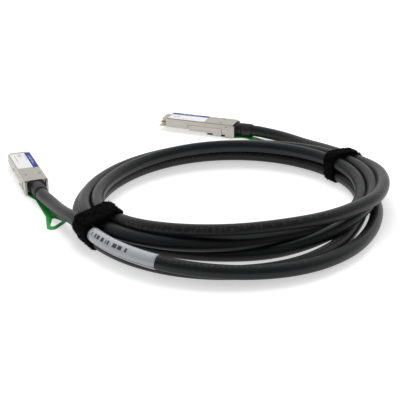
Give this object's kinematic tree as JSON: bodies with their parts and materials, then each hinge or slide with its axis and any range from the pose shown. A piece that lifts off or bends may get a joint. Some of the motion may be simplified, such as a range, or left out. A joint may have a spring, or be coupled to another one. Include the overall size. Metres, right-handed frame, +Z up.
{
  "type": "direct attach copper cable",
  "caption": "Coiled round black network cable tied with hook-and-loop straps; each end has a metal pluggable connector with a sprung latch and a green pull tab",
  "frame": {"origin": "On the floor plane, under the middle of the box round the two plugs with their pull tabs.", "axes": "+Z is up from the floor that the cable lies on. -Y faces the front of the coil, and the left plug lies towards -X with the rear plug towards +Y."},
  "size_m": [0.3062, 0.3291, 0.0307],
  "materials": {
    "plug_metal": "nickel-plated zinc die casting, satin",
    "screw_steel": "zinc-plated screw, satin",
    "card_laminate": "solder mask on glass laminate",
    "gold_pads": "gold plating",
    "boot_rubber": "moulded elastomer, satin",
    "ring_brass": "crimped brass",
    "wire_insulation": "foamed insulation with foil",
    "spring_steel": "drawn spring wire",
    "label_paper": "white printed film with a blue band",
    "latch_steel": "stamped stainless sheet",
    "tab_green": "soft moulded green plastic, satin",
    "cable_jacket": "black jacket, satin, with faint print",
    "strap_fabric": "hook-and-loop tape, napped",
    "cable_label_film": "pale printed film under clear laminate"
  },
  "bodies": {
    "cable_and_plugs": {"cable_coil": "cable_jacket", "cable_tail_a": "cable_jacket", "cable_tail_b": "cable_jacket", "strap_back": "strap_fabric", "strap_front": "strap_fabric", "cable_label": "cable_label_film", "base_shell_a": "plug_metal", "top_cover_a": "plug_metal", "cover_screws_a": "screw_steel", "paddle_card_a": "card_laminate", "contact_fingers_a": "gold_pads", "cable_boot_a": "boot_rubber", "crimp_ring_a": "ring_brass", "wire_pairs_a": "wire_insulation", "return_springs_a": "spring_steel", "plug_label_a": "label_paper", "base_shell_b": "plug_metal", "top_cover_b": "plug_metal", "cover_screws_b": "screw_steel", "paddle_card_b": "card_laminate", "contact_fingers_b": "gold_pads", "cable_boot_b": "boot_rubber", "crimp_ring_b": "ring_brass", "wire_pairs_b": "wire_insulation", "return_springs_b": "spring_steel", "plug_label_b": "label_paper"},
    "latch_a": {"latch_slider_a": "latch_steel", "pull_tab_a": "tab_green"},
    "latch_b": {"latch_slider_b": "latch_steel", "pull_tab_b": "tab_green"}
  },
  "joints": [
    {"name": "latch_slide_a", "type": "slide", "parent": "cable_and_plugs", "child": "latch_a", "axis": [0.9421, -0.3355, 0], "range_m": [0, 0.003], "stiffness_N_per_m": 600, "springref_m": -0.003, "deforming": ["return_springs_a"]},
    {"name": "latch_slide_b", "type": "slide", "parent": "cable_and_plugs", "child": "latch_b", "axis": [0.3633, -0.9317, 0], "range_m": [0, 0.003], "stiffness_N_per_m": 600, "springref_m": -0.003, "deforming": ["return_springs_b"]}
  ]
}
